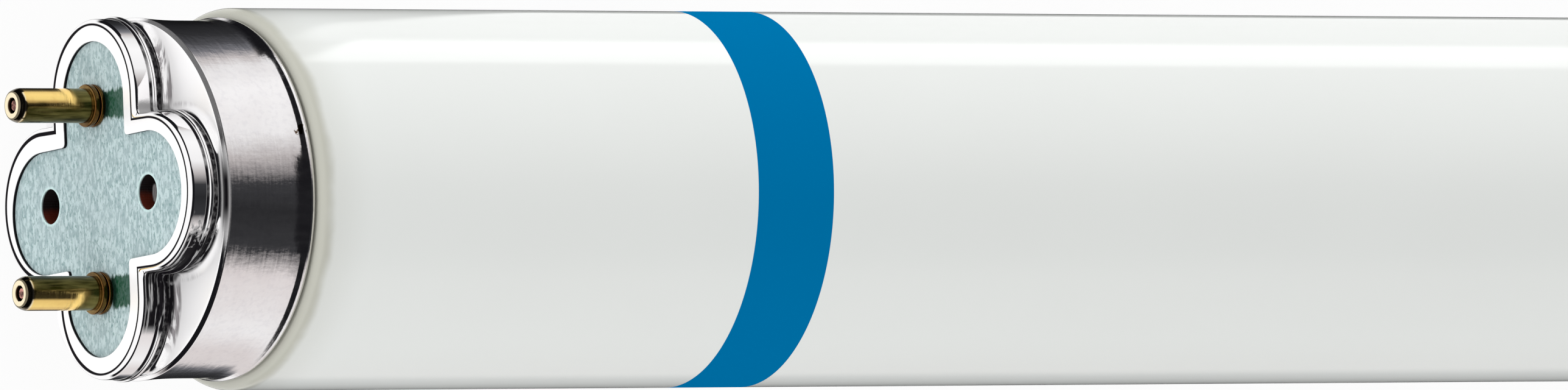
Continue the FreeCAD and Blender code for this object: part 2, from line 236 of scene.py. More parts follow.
class Paint:
    """A material, or the world, that is being painted with nodes."""

    def __init__(self, tree):
        self.tree = tree
        tree.nodes.clear()

    @classmethod
    def named(cls, name):
        material = bpy.data.materials.new(name)
        material.use_nodes = True
        paint = cls(material.node_tree)
        paint.material = material
        return paint

    def node(self, kind, settings=None, sockets=None, out=0):
        """Add a node: its settings are set first, then each socket gets a value or a link."""
        made = self.tree.nodes.new(kind)
        for key, value in (settings or {}).items():
            setattr(made, key, value)
        for key, value in (sockets or {}).items():
            if isinstance(value, Field):
                self.tree.links.new(value.socket, made.inputs[key])
            else:
                made.inputs[key].default_value = value
        return Field(self, made.outputs[out])

    def math(self, operation, first, second=0.0):
        return self.node("ShaderNodeMath", {"operation": operation}, {0: first, 1: second})

    def vector_math(self, operation, sockets, out="Vector"):
        return self.node("ShaderNodeVectorMath", {"operation": operation}, sockets, out)

    def largest(self, most, *others):
        for other in others:
            most = self.math("MAXIMUM", most, other)
        return most

    def split(self, vector):
        parts = self.node("ShaderNodeSeparateXYZ", sockets={0: vector}).socket.node
        return [Field(self, socket) for socket in parts.outputs]

    def place(self):
        """Object coordinates: as a vector, then each by itself."""
        spot = self.node("ShaderNodeTexCoord", out="Object")
        return spot, *self.split(spot)

    def reach(self, first, second):
        """How far the point (first, second) lies from zero."""
        point = self.node("ShaderNodeCombineXYZ", sockets={0: first, 1: second})
        return self.vector_math("LENGTH", {0: point}, "Value")

    def noise(self, vector, scale, detail=3.0, roughness=0.5):
        """Noise from 0 to 1. A scale for each axis makes it run along the smallest."""
        if isinstance(scale, tuple):
            vector = self.node("ShaderNodeMapping", sockets={"Vector": vector, "Scale": scale})
            scale = 1.0
        sockets = {"Vector": vector, "Scale": scale, "Detail": detail, "Roughness": roughness}
        return self.node("ShaderNodeTexNoise", sockets=sockets, out="Fac")

    def blend(self, mask, first, second):
        """Colour that goes from first to second with the mask."""
        first, second = (shade if isinstance(shade, Field) else (*shade, 1.0)
                         for shade in (first, second))
        return self.node("ShaderNodeMix", {"data_type": "RGBA"}, {0: mask, 6: first, 7: second}, 2)

    def coats(self, base, *coats):
        """Colour under coats, each (mask, colour)."""
        for mask, shade in coats:
            base = self.blend(mask, base, shade)
        return base

    def ramp(self, value, stops):
        """Colours along a line: each stop is (place from 0 to 1, (red, green, blue))."""
        made = self.node("ShaderNodeValToRGB", sockets={0: value})
        elements = made.socket.node.color_ramp.elements
        while len(elements) < len(stops):
            elements.new(0.5)
        for element, (spot, shade) in zip(elements, stops):
            element.position = spot
        for element, (spot, shade) in zip(elements, stops):
            element.color = (*shade, 1.0)
        return made

    def bump(self, height, distance, **more):
        """Normal of a surface with a height on it, which stands for a distance in millimetres."""
        return self.node("ShaderNodeBump", sockets={
            "Height": height, "Distance": distance * MM, "Strength": 1.0, **more})

    def principled(self, **sockets):
        """Principled shader; a socket's name is given with low lines for its spaces."""
        named = {key.replace("_", " "): value for key, value in sockets.items()}
        return self.node("ShaderNodeBsdfPrincipled", sockets=named)

    def mixed(self, mask, first, second):
        """Shader that goes from first to second with the mask."""
        return self.node("ShaderNodeMixShader", sockets={0: mask, 1: first, 2: second})

    def put(self, shader, kind="Material"):
        """Lead the shader to the output; gives the material."""
        output = self.tree.nodes.new(f"ShaderNodeOutput{kind}")
        self.tree.links.new(shader.socket, output.inputs["Surface"])
        return getattr(self, "material", None)

    def finish(self, **sockets):
        return self.put(self.principled(**sockets))

    def ray(self, kind):
        return self.node("ShaderNodeLightPath", out=f"Is {kind} Ray")

    def seen(self):
        """1 for rays from the camera and for mirrored or refracted ones, else 0."""
        rays = self.ray("Camera") + self.ray("Glossy") + self.ray("Transmission")
        return self.math("MINIMUM", rays, 1.0)


# Meshes from whole arrays

def wrapped(depth, radius, angle):
    """Rows of points round the lamp's axis: (d, r cos a, r sin a)."""
    radius = radius + 0 * angle
    return np.stack([depth + 0 * radius, radius * np.cos(angle), radius * np.sin(angle)], -1)


def at_end(rows, heading):
    """Rows whose depths run inwards from x = -FRONT, the near end; heading 1 turns them half round
    about Z, to the far end."""
    rows[..., 0] -= FRONT
    return rows * (-1.0, -1.0, 1.0) if heading > 0 else rows


def placed(name, data):
    """A new object, in the scene."""
    made = bpy.data.objects.new(name, data)
    bpy.context.scene.collection.objects.link(made)
    return made


def solid(name, grid, poles=()):
    """Closed mesh from a grid of points, rows by columns, whose columns close on themselves. The
    first and last row close on a pole each, or on each other. Faces that enclose a negative volume
    are turned over, so that they point outwards."""
    rows, columns = grid.shape[:2]
    points = grid.reshape(-1, 3)
    index = np.arange(rows * columns).reshape(rows, columns)
    below = index[1:] if poles else np.roll(index, -1, axis=0)
    above = index[:-1] if poles else index
    quads = np.stack([above, np.roll(above, -1, 1), np.roll(below, -1, 1), below], -1).reshape(-1, 4)
    fans = []
    if poles:
        points = np.vstack([points, poles])
        for row, pole, way in ((index[0], rows * columns, -1), (index[-1], rows * columns + 1, 1)):
            fan = np.stack([row, np.roll(row, -1), np.full(columns, pole)], -1)
            fans.append(fan[:, ::way])
    fans = np.concatenate(fans) if fans else np.empty((0, 3), int)
    corners = np.concatenate([points[quads[:, [0, 1, 2]]], points[quads[:, [0, 2, 3]]],
                              points[fans]])
    volume = np.einsum("ij,ij->i", corners[:, 0], np.cross(corners[:, 1], corners[:, 2])).sum()
    if volume < 0:
        quads, fans = quads[:, ::-1], fans[:, ::-1]
    mesh = bpy.data.meshes.new(name)
    mesh.from_pydata(points, [], quads.tolist() + fans.tolist(), shade_flat=False)
    mesh.validate()
    return placed(name, mesh)


def turned(name, outline, columns, heading, across=0.0, poles=False):
    """Surface of revolution: each outline point (depth, radius) goes round the lamp's axis moved by
    across along Y."""
    angle = np.linspace(0.0, 2 * np.pi, columns, endpoint=False)
    grid = at_end(wrapped(outline[:, :1], outline[:, 1:], angle), heading)
    grid[..., 1] += across
    ends = [(row[0, 0], across, 0.0) for row in grid[[0, -1]]] if poles else ()
    return solid(name, grid, ends)


def rounded_outline(corners, steps=7):
    """Outline with rounded corners. Each corner is (distance, radius, round). The round is a curve
    p(t) = (1-t)^2 a + 2t(1-t) c + t^2 b, from a to b, which lie that far from the corner c on its
    two sides, but at most a share of the side. A guard point beside each end of a round keeps the
    flats next to it flat."""
    most, guard = 0.45, 0.15
    spots = np.array([corner[:2] for corner in corners], float)
    rounds = np.array([corner[2] for corner in corners], float)[:, None]
    back = np.roll(spots, 1, axis=0) - spots
    on = np.roll(spots, -1, axis=0) - spots
    back_length = np.linalg.norm(back, axis=1, keepdims=True)
    on_length = np.linalg.norm(on, axis=1, keepdims=True)
    back, on = back / back_length, on / on_length
    room = np.minimum(rounds, most * np.minimum(back_length, on_length))
    t = np.linspace(0.0, 1.0, steps)[None, :, None]
    first, last = (spots + back * room)[:, None], (spots + on * room)[:, None]
    curve = (1 - t) ** 2 * first + 2 * t * (1 - t) * spots[:, None] + t ** 2 * last
    before = first + (back * room * guard)[:, None]
    after = last + (on * room * guard)[:, None]
    return np.concatenate([before, curve, after], axis=1).reshape(-1, 2)


# The cap

def soft_max(first, second, blend):
    """The larger of two, with a rounded change-over: blend (1 - |a-b|/blend)^2 / 4 is added."""
    near = np.clip(1 - np.abs(first - second) / blend, 0, None)
    return np.maximum(first, second) + near ** 2 * blend / 4


def gone(value, low, high):
    """Share of the way from low to high, held between 0 and 1."""
    return np.clip((value - low) / (high - low), 0, 1)


def smooth(value, low, high):
    """The same with flat ends: 3s^2 - 2s^3."""
    share = gone(value, low, high)
    return share * share * (3 - 2 * share)


def slot_radius(angle, half_width, centre, aside=0.0):
    """Distance from the axis to a straight slot with round ends that lies a little aside, seen at
    an angle a from its arm. It is the larger of two: the straight part, min(c / |cos a|,
    (w + s) / |sin a|), and the round end, m + sqrt(w^2 - n^2), where m and n are the distances of
    its centre (c, s) along and across the line of sight."""
    along, across, tiny = np.cos(angle), np.sin(angle), 1e-9
    side = (half_width + aside * np.sign(across)) / np.maximum(np.abs(across), tiny)
    straight = np.minimum(centre / np.maximum(np.abs(along), tiny), side)
    ahead = centre * np.abs(along) + aside * across
    off = centre * np.sign(along) * across - aside * along
    inside = half_width ** 2 - off ** 2
    end = np.where(inside > 0, ahead + np.sqrt(np.clip(inside, 0, None)), 0.0)
    return np.maximum(straight, end)


def cross_radius(angle, widths, centres, blend, asides=(0.0, 0.0), turns=(0.0, 0.0)):
    """Outline of two crossing slots, the first along Y: the larger of the two, softly joined."""
    upright = slot_radius(angle - turns[0], widths[0], centres[0], asides[0])
    level = slot_radius(angle - np.pi / 2 - turns[1], widths[1], centres[1], asides[1])
    return soft_max(upright, level, blend)


def boss_radius(cap, angle, out=0.0):
    """Outline of the boss, grown outwards by out."""
    width = cap.arm_half_width + out
    return cross_radius(angle, (width, width), (cap.lobe_centre,) * 2, cap.corner_blend)


def even_angles(cap):
    """Angles from +Y that lie equally far apart along the boss wall."""
    fine = np.linspace(0.0, 2 * np.pi, 20001)
    radius = boss_radius(cap, fine)
    spots = np.stack([radius * np.cos(fine), radius * np.sin(fine)], 1)
    way = np.concatenate([[0.0], np.cumsum(np.linalg.norm(np.diff(spots, axis=0), axis=1))])
    return np.interp(np.linspace(0.0, way[-1], cap.columns, endpoint=False), way, fine)


class CapSurface:
    """The cap as one closed sheet of rows, from the lip's opening over the outside and back inside."""
    ROLL_TURN = np.radians(62)

    def __init__(self, cap):
        self.cap = cap
        self.angle = even_angles(cap)

    def band(self, depth, radius):
        """Rows at the given depths; a row's radius is a number or one value per column."""
        depth = np.asarray(depth, float).reshape(-1, 1)
        radius = np.asarray(radius, float)
        if radius.ndim == 1:
            radius = radius[:, None]
        return wrapped(depth, radius, self.angle)

    def wall(self, out):
        """Outlines of the boss, one for each value of out."""
        return boss_radius(self.cap, self.angle, np.asarray(out, float).reshape(-1, 1))

    def opening(self, depth, grow):
        """Rows on the edge of the lip's opening, which is a slightly turned cross off the axis."""
        cap = self.cap
        grow = np.asarray(grow, float).reshape(-1, 1)
        radius = cross_radius(self.angle, [width + grow for width in cap.opening_width],
                              cap.opening_reach, cap.opening_blend, cap.opening_aside,
                              cap.opening_turn)
        return self.band(depth, radius)

    def front(self):
        """Lip, flat strip and the quarter round to the boss wall."""
        cap = self.cap
        quarter = np.linspace(0, np.pi / 2, 5)
        cut = self.opening(cap.lip_round * (1 - np.sin(quarter)), cap.lip_round * (1 - np.cos(quarter)))
        back = self.opening([cap.gauge, cap.lip_round * 1.5], [0, 0])
        inner = self.opening([0.0], [cap.lip_round * 1.5])
        outer = self.band([0.0], self.wall(-1.15 * cap.edge_round))
        share = np.array([0.0, 0.5, 1.0])[:, None, None]
        strip = inner + (outer - inner) * share
        quarter = np.linspace(0, np.pi / 2, 8)
        edge = self.band(cap.edge_round * (1 - np.cos(quarter)),
                         self.wall(cap.edge_round * (np.sin(quarter) - 1)))
        return [back, cut, strip, edge]

    def boss(self):
        """Boss wall with its bead, the groove behind it and the flared foot. The bead stands out by
        a plateau with smooth sides; the foot is a quarter of an ellipse; past the ring face's edge
        radius the outline is softly held to that circle."""
        cap = self.cap
        straight = self.band(np.linspace(cap.edge_round * 1.15, cap.bead_start - 0.1 * MM, 4),
                             self.wall(np.zeros(4)))
        share = np.linspace(0.0, 1.0, 13)
        plateau = smooth(np.minimum(share, 1 - share), 0.0, 0.3)
        drop = np.where(share > 0.5, (1 - plateau) * cap.groove_in, 0.0)
        bead = self.band(cap.bead_start + share * (cap.bead_end - cap.bead_start),
                         self.wall(plateau * cap.bead_out - drop))
        turn = np.linspace(0.0, np.pi / 2, 11)
        out = -cap.groove_in + (cap.foot_out + cap.groove_in) * (1 - np.cos(turn))
        inset, blend = 0.03 * MM, 0.25 * MM
        held = -soft_max(-self.wall(out), inset - self.ring_edge(), blend)
        foot = self.band(cap.foot_start + (cap.ring_depth - cap.foot_start) * np.sin(turn), held)
        share = np.array([0.06, 0.5, 0.94])[:, None]
        ring = self.band(np.full(3, cap.ring_depth), held[-1] + (self.ring_edge() - held[-1]) * share)
        return [straight, bead, foot, ring]

    def shoulder(self):
        """Depths past the ring face and radii past its edge: a small round, a cone that stands 25
        degrees off the skirt, and a round twice as large."""
        cap = self.cap
        lean = np.radians(65)
        first, last = np.linspace(0.05, lean, 5), np.linspace(lean, np.pi / 2, 5)
        share = np.array([0.1, 0.5, 0.9])
        small, large = cap.bevel_round, 2 * cap.bevel_round
        deep, out = small * (1 - np.cos(lean)), small * np.sin(lean)
        run, rise = cap.bevel * np.sin(lean), cap.bevel * np.cos(lean)
        depth = np.concatenate([small * (1 - np.cos(first)), deep + run * share,
                                deep + run + large * (np.cos(lean) - np.cos(last))])
        radius = np.concatenate([small * np.sin(first), out + rise * share,
                                 out + rise + large * (np.sin(last) - np.sin(lean))])
        return depth, radius

    def ring_edge(self):
        return self.cap.shoulder_radius - self.shoulder()[1][-1]

    def skirt_radius(self, depth):
        """Shoulder to waist by a parabola, straight, a slight flare that grows with the 1.6th power,
        and a steep cone to the rolled rim."""
        cap = self.cap
        start = cap.ring_depth + self.shoulder()[0][-1]
        rise = gone(depth, cap.waist_depth, start) ** 2
        flare = gone(depth, cap.flare_depth, cap.kink_depth) ** 1.6
        steep = gone(depth, cap.kink_depth, self.roll_start())
        return (cap.waist_radius + (cap.shoulder_radius - cap.waist_radius) * rise
                + (cap.kink_radius - cap.waist_radius) * flare
                + (cap.flare_radius - cap.kink_radius) * steep)

    def roll_start(self):
        return self.cap.rim_depth - self.cap.rim_roll * (1 + np.cos(self.ROLL_TURN))

    def skirt(self):
        """Shoulder, waisted skirt, flare and the rolled rim, whose section is most of a circle."""
        cap = self.cap
        deep, out = self.shoulder()
        shoulder = self.band(cap.ring_depth + deep, self.ring_edge() + out)
        steep = self.roll_start() - cap.kink_depth
        depth = np.concatenate([
            np.linspace(cap.ring_depth + deep[-1] * 1.05, cap.flare_depth, 12),
            np.linspace(cap.flare_depth, cap.kink_depth, 9)[1:-1],
            cap.kink_depth + steep * np.array([-0.1, 0.1, 0.5, 0.9])])
        skirt = self.band(depth, self.skirt_radius(depth))
        turn = np.linspace(self.ROLL_TURN, np.radians(215), 16)
        roll = self.band(cap.rim_depth - cap.rim_roll * (1 + np.cos(turn)),
                         cap.flare_radius + cap.rim_roll * (np.sin(turn) - np.sin(self.ROLL_TURN)))
        return [shoulder, skirt, roll]

    def inside(self):
        """The sheet's inner side, from the rim back to the lip."""
        cap = self.cap
        depth = np.linspace(self.roll_start(), cap.ring_depth + 2 * cap.gauge, 16)
        skirt = self.band(depth, self.skirt_radius(depth) - cap.gauge)
        back = np.full(3, cap.ring_depth + cap.gauge)
        hollow = self.wall(-cap.gauge)
        rim = np.maximum(self.ring_edge() - cap.gauge, hollow + 0.02 * MM)
        share = np.array([1.0, 0.5, 0.0])[:, None]
        ring = self.band(back, hollow + (rim - hollow) * share)
        wall = self.band(np.linspace(cap.ring_depth, cap.gauge * 1.1, 5), hollow + np.zeros((5, 1)))
        lip_outer = self.band([cap.gauge], hollow - 0.03 * MM)
        lip_inner = self.opening([cap.gauge], [0.05 * MM])
        lip = lip_outer + (lip_inner - lip_outer) * np.array([0.0, 0.5, 1.0])[:, None, None]
        return [skirt, ring, wall, lip]

    def crimped(self, rows):
        """One side of the lower lobe is pressed outwards, most of all halfway down it and not at
        all at the skirt."""
        depth, down, left = rows[..., 0] / MM, -rows[..., 1] / MM, -rows[..., 2] / MM
        push = smooth(left, 2.5, 5.0) * smooth(down, 5.2, 7.6) * smooth(down, 12.6, 8.0)
        rows[..., 2] -= self.cap.crimp * push * smooth(depth, 2.7, 1.2)
        return rows

    def grid(self, heading):
        rows = np.concatenate(self.front() + self.boss() + self.skirt() + self.inside())
        return at_end(self.crimped(rows), heading)


# Finishes

def aluminium(lamp):
    """Bright drawn sheet, milky on its flats. Marks of the drawing run round the skirt and bend
    what it mirrors a little up and down. Painted shade and painted dark reflections lie near black
    on the cut edge of the lip, along the edge of the front strip, beside the bead, in the inside
    corners of the boss, on one side of the lower lobe, under the level lobe and at the edge of the
    ring face. Grey streaks stand beside the boss, and the near rim has a brown nick."""
    cap, colours = lamp.cap, lamp.colours
    paint = Paint.named("drawn_aluminium")
    spot, x, y, z = paint.place()
    high, wide = abs(y), abs(z)
    depth = FRONT - abs(x)
    near = x.step(0.0, -1.0)
    drawn = paint.noise(spot, (300, 2600, 2600))
    comb = paint.noise(spot, (5200, 330, 330), roughness=0.6)
    streak = paint.noise(spot, (3400, 330, 3400), roughness=0.6)
    cloud = paint.noise(spot, 420, 4.0)
    wave = paint.noise(spot, 520, 1.0)
    grain = paint.noise(spot, 2600)

    # where on the cap
    ring = cap.ring_depth
    skirt = depth.step(0.1, 0.5, at=ring)
    flat = depth.step(0.012, 0.002) + depth.between(-0.25, -0.1, 0.003, 0.012, at=ring)
    wall = (1 - flat) * (1 - skirt)
    within = depth.rise(cap.edge_round * 0.8, cap.edge_round * 1.2) * depth.step(-0.02, -0.12, at=ring)
    from_spine = paint.math("MINIMUM", *(
        paint.reach(paint.largest(along - cap.lobe_centre, 0.0), across)
        for along, across in ((high, z), (wide, y))))

    # painted shade and painted dark reflections, near black, as lines and patches
    # painted shadow line on the cut edge of the lip, where it meets the board
    cut = from_spine.step(4.9, 4.8) * depth.between(0.02, 0.06, 0.3, 0.4)
    # painted shade in the groove behind the bead, speckled
    fold = (depth.step(-0.34, -0.26, at=cap.bead_end) * depth.step(0.2, 0.1, at=cap.foot_start)
            * grain.rise(0.25, 0.6, 0.85, 1.0))
    # painted dark reflection: a line where the bead starts
    seam = abs(depth - cap.bead_start).step(0.13, 0.07) * cloud.rise(0.3, 0.5, 0.5, 1.0)
    # painted shade in the inside corners of the boss, weaker on the upper lobe
    root = paint.reach(high - cap.arm_half_width, wide - cap.arm_half_width)
    root = root.frayed(cloud, 1.2).step(1.0, 0.5, 0.0, 0.85) * within * y.step(2.0, 4.0, 1.0, 0.7)
    # painted dark reflection along the outer edge of the front strip, wider towards -Z
    strip_edge = cap.arm_half_width - cap.edge_round
    wider = z.step(0.0, -3.0, 0.0, 0.12 * MM)
    edge = (depth.step(0.08, 0.06)
            * (from_spine + wider).step(-0.11, -0.06, at=strip_edge)
            * from_spine.step(0.1, 0.04, at=strip_edge))
    # painted dark reflection on one side of the lower lobe and under the level lobe, near end only
    lobe = (z.between(4.6, 5.0, 6.6, 7.4)
            * y.frayed(cloud, 5.0).step(-5.2, -5.8)
            * y.frayed(streak, 6.0).step(-11.4, -10.0))
    under = y.frayed(streak, 4.0).step(-2.2, -3.6) * y.step(-6.4, -5.9) * z.step(4.6, 5.2)
    dark_reflection = (paint.largest(lobe, under) * comb.rise(0.6, 0.5, 0.5, 1.0) * within
            * depth.step(-0.1, -0.25, at=ring) * near)
    # painted shade at the edge of the ring face on the +Z side, near end only
    gap = (abs(depth - ring - 0.1 * MM).step(0.4, 0.05) * z.step(10.8, 11.4)
           * abs(y + 0.5 * MM).step(4.2, 0.8) * near)
    painted_shade = paint.largest(cut, edge, fold, seam, root, dark_reflection, gap)
    # grey streaks on the walls of the upright lobes, between the bead and the foot
    foot_streaks = (from_spine.step(0.8, 0.5, at=cap.arm_half_width)
             * depth.rise(cap.bead_end, cap.foot_start)
             * high.between(5.4, 6.6, 9.6, 11.0)
             * streak.rise(0.4, 0.55, 0.1, 0.85))
    nick_place = (-FRONT + 9.2 * MM, 3.7 * MM, 11.7 * MM)
    from_nick = paint.vector_math("DISTANCE", {0: spot, 1: nick_place}, "Value")
    nick = from_nick.frayed(grain, 1.3).step(0.42, 0.25)
    base = paint.coats(
        colours.front_metal,
        (skirt, colours.skirt_metal),
        (cloud.rise(0.4, 0.75, 0.0, 0.12) * skirt, (0.6, 0.52, 0.52)),
        (grain.rise(0.45, 0.7, 0.0, 0.16) * skirt, (0.62, 0.6, 0.66)),
        (foot_streaks * (1 - skirt), (0.2, 0.18, 0.19)),
        # near-black painted shade and painted dark reflections, also matt and rougher
        (painted_shade, (0.005, 0.004, 0.006)),
        (nick * streak.rise(0.35, 0.5), (0.09, 0.05, 0.02)))

    # polish
    worn = depth.between(0.0, 0.03, 0.3, 0.4, at=ring) * y.step(2.0, 5.0, 0.0, 0.14)
    milky = paint.largest(flat * 0.8, worn)
    rough = 0.03 + skirt * 0.05 + drawn.rise(0.3, 0.8, 0.0, 0.06) * skirt + flat * 0.3
    face = paint.node("ShaderNodeNewGeometry", out="Normal")
    round_way = paint.vector_math("CROSS_PRODUCT", {0: face, 1: (1.0, 0.0, 0.0)})
    bend = paint.vector_math("SCALE", {0: round_way, 3: (comb - 0.5) * skirt * 0.08})
    bent = paint.vector_math("ADD", {0: face, 1: bend})
    height = drawn * 0.4 + cloud * 2.2 + grain * 0.45
    height = height * (0.08 + skirt * 0.92) + wave * wall * 0.7
    return paint.finish(
        Base_Color=base, Metallic=1.0 - paint.largest(milky, painted_shade), Roughness=rough + painted_shade * 0.5,
        Specular_IOR_Level=0.08, Normal=paint.bump(height, 0.012, Normal=bent))


def coated_glass(lamp):
    """Clear glass over white powder: a printed ring, glass that turns darker and yellowish grey
    towards the caps, brown glass inside them, and faint clouds and smears."""
    glass, colours = lamp.glass, lamp.colours
    paint = Paint.named("coated_glass")
    spot, x, y, z = paint.place()
    depth = FRONT - abs(x)
    cloud = paint.noise(spot, 90)
    streak = paint.noise(spot, (60, 900, 900))
    start, wide = glass.shoulder_start, glass.tint_width
    # darker, yellowish grey towards the cap, with an uneven edge
    uneven = depth.frayed(paint.noise(spot, 350), 0.7)
    bare = (uneven.rise(start + wide * 1.1, start + wide * 0.3, 0.0, 0.75)
            + depth.rise(start + wide * 4, start + wide * 0.4, 0.0, 0.25))
    hidden = depth.step(0.0, -0.4, at=lamp.cap.rim_depth)
    base = paint.coats(colours.powder, (cloud.rise(0.3, 0.7, 0.0, 0.06), (0.70, 0.71, 0.69)),
                       (bare, colours.bare), (hidden, colours.cement))
    glossy = paint.principled(
        Base_Color=base, IOR=1.3,
        Roughness=0.05 + cloud.rise(0.4, 0.8, 0.0, 0.05) + hidden * 0.5,
        Normal=paint.bump(cloud * 0.6 + streak * 0.1, 0.02))
    ring_depth = FRONT + x - z * glass.ring_lean - y * glass.ring_twist
    inside = (ring_depth.step(-0.02, 0.02, at=glass.ring_start)
              * ring_depth.step(0.02, -0.02, at=glass.ring_start + glass.ring_width))
    ink = paint.blend(cloud.rise(0.3, 0.7, 0.0, 0.1), colours.ring, (0.0, 0.13, 0.35))
    matt = paint.principled(Base_Color=ink, Roughness=0.6, Specular_IOR_Level=0.0)
    return paint.put(paint.mixed(inside, glossy, matt))


def pressed_board(lamp):
    """Pale grey-green pressed board: fibres, specks, a painted shadow beside each pin, and punched
    holes with painted shade inside, dark red below and a painted highlight in the +Z one."""
    pin, colours = lamp.pin, lamp.colours
    paint = Paint.named("pressed_board")
    spot, x, y, z = paint.place()
    depth = FRONT - abs(x)
    fibre = paint.noise(spot, (2200, 1500, 3600), 4.0, 0.6)
    speck = paint.noise(spot, (5200, 3400, 6400), 2.0)
    cloud = paint.noise(spot, 350)
    high = abs(y)
    row = high - PIN_HEIGHT
    ragged = (cloud - 0.5) * (0.9 * MM) + (fibre - 0.5) * (0.8 * MM)
    # painted shadow of each pin, on its +Z side, with ragged speckled edges
    pin_shadow = ((z + ragged).step(0.9, 1.3) * (abs(row) + ragged).step(1.15, 0.85)
             * speck.rise(0.3, 0.75, 1.0, 0.85))
    from_pin, from_hole = paint.reach(row, z), paint.reach(y, abs(z) - PIN_HEIGHT)
    nearest = paint.math("MINIMUM", from_pin, from_hole)
    punched = nearest.step(0.08, 0.02, at=pin.radius)
    deep = depth.step(0.02, 0.15, at=lamp.cap.gauge)
    pale = nearest.step(0.26, 0.1, at=pin.radius) * (1 - deep)
    glint = depth.step(1.3, 1.45) * high.step(0.7, 0.45) * z.step(0.0, 1.0)
    # inside the holes: near-black painted shade, dark red on the lower side, and a painted highlight
    # deep in the +Z hole
    inner = paint.coats(
        (0.008, 0.004, 0.004),
        (y.frayed(cloud, 1.2).step(0.2, -0.4), (0.11, 0.015, 0.005)),
        (glint, (0.7, 0.68, 0.68)))
    base = paint.coats(
        colours.board,
        (fibre.rise(0.4, 0.6), (0.53, 0.65, 0.66)),
        (speck.rise(0.54, 0.68, 0.0, 0.7), (0.16, 0.27, 0.27)),
        (cloud.rise(0.35, 0.7, 0.0, 0.3), (0.43, 0.52, 0.54)),
        # the painted shadow, fading along +Z, and near black right beside the pin
        (pin_shadow * z.step(1.5, 4.4, 1.0, 0.9), colours.board_shadow),
        (pin_shadow * from_pin.step(2.1, 1.6), (0.0, 0.012, 0.006)),
        (pale * 0.6, (0.66, 0.85, 0.83)),
        (punched * deep, inner))
    return paint.finish(Base_Color=base, Roughness=0.72, Specular_IOR_Level=0.15,
                        Normal=paint.bump(fibre + speck * 0.4, 0.05))


def bright_brass(lamp):
    """Drawn brass with faint lines round it. The tip is painted paler, a painted highlight; the
    sides of two pins that face each other and the foot of each are painted dark olive, a painted
    dark reflection; the edge of the tip's rounding and its hole are painted dark as shade; the
    collar is red-brown."""
    pin, colours = lamp.pin, lamp.colours
    paint = Paint.named("bright_brass")
    spot, x, y, z = paint.place()
    from_tip = PIN_TIP - abs(x)
    lines = paint.noise(spot, (9000, 700, 700), 2.0)
    cloud = paint.noise(spot, 900, 4.0)
    drawn = paint.noise(spot, (500, 3500, 3500), 2.0)
    outer = abs(y) - PIN_HEIGHT
    # painted dark reflection: the sides of the pins that face each other and the foot of each
    inner_side = outer.frayed(cloud, 0.5).step(0.22, -0.1)
    foot = from_tip.frayed(cloud, 1.0).step(4.0, 4.7)
    # painted highlight: the tip painted paler than the brass
    tip = from_tip.rise(pin.tip_length * 1.3, pin.tip_length * 0.9)
    olive_shade = paint.largest(inner_side, foot * 0.85) * (1 - tip)
    collar = from_tip.rise(pin.front_length - pin.collar_length * 1.05,
                           pin.front_length - pin.collar_length * 0.95)
    out = paint.reach(outer, z)
    # painted dark reflection on the outer edge of the tip's rounding
    tip_edge_shade = from_tip.step(0.0, -0.1, at=pin.tip_length) * out.step(-0.14, -0.08, at=pin.tip_radius)
    # painted shade in the hole at the tip and its chamfer
    hole = out.rise(pin.hole_radius + pin.chamfer, pin.hole_radius + 0.4 * pin.chamfer)
    base = paint.coats(
        colours.brass,
        (cloud.rise(0.45, 0.8, 0.0, 0.4), (0.75, 0.46, 0.14)),
        (tip, (1.0, 0.88, 0.62)),
        (olive_shade * drawn.rise(0.25, 0.75, 1.0, 0.82), (0.034, 0.027, 0.003)),
        (collar * cloud.rise(0.25, 0.6, 0.75, 1.0), colours.tarnish),
        (tip_edge_shade * 0.85, (0.03, 0.018, 0.006)),
        (hole, (0.03, 0.012, 0.006)))
    rough = 0.09 + lines.rise(0.3, 0.8, 0.0, 0.09) + olive_shade * 0.08 - collar * 0.08
    return paint.finish(Base_Color=base, Metallic=1.0, Roughness=rough,
                        Normal=paint.bump(lines * 0.5 + cloud, 0.006))


def dull_copper(lamp):
    """Cut wire end: pinkish copper with dark scale."""
    paint = Paint.named("dull_copper")
    scale = paint.noise(paint.place()[0], 2600, 4.0)
    base = paint.blend(scale.rise(0.4, 0.6), lamp.colours.copper, (0.12, 0.05, 0.04))
    return paint.finish(Base_Color=base, Metallic=0.8, Roughness=0.38,
                        Normal=paint.bump(scale, 0.03))


def baked_cement(lamp):
    """Brown baked cement with a coarse, pitted surface."""
    paint = Paint.named("baked_cement")
    grit = paint.noise(paint.place()[0], 1500, 5.0, 0.65)
    base = paint.blend(grit.rise(0.3, 0.7), lamp.colours.cement, (0.2, 0.11, 0.06))
    return paint.finish(Base_Color=base, Roughness=0.85, Normal=paint.bump(grit, 0.12))


# Operators

def settings(context):
    """The lamp's property groups, by their short names."""
    return SimpleNamespace(**{name: getattr(context.scene, f"lamp_{name}") for name in GROUPS})


def fit(piece, material, node):
    """Give a piece its finish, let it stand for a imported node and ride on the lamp's one body."""
    piece.data.materials.append(material)
    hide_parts(node)
    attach(piece, "root")


def refinish(material, *nodes):
    """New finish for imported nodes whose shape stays."""
    for name in nodes:
        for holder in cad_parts[name].material_slots:
            holder.material = material


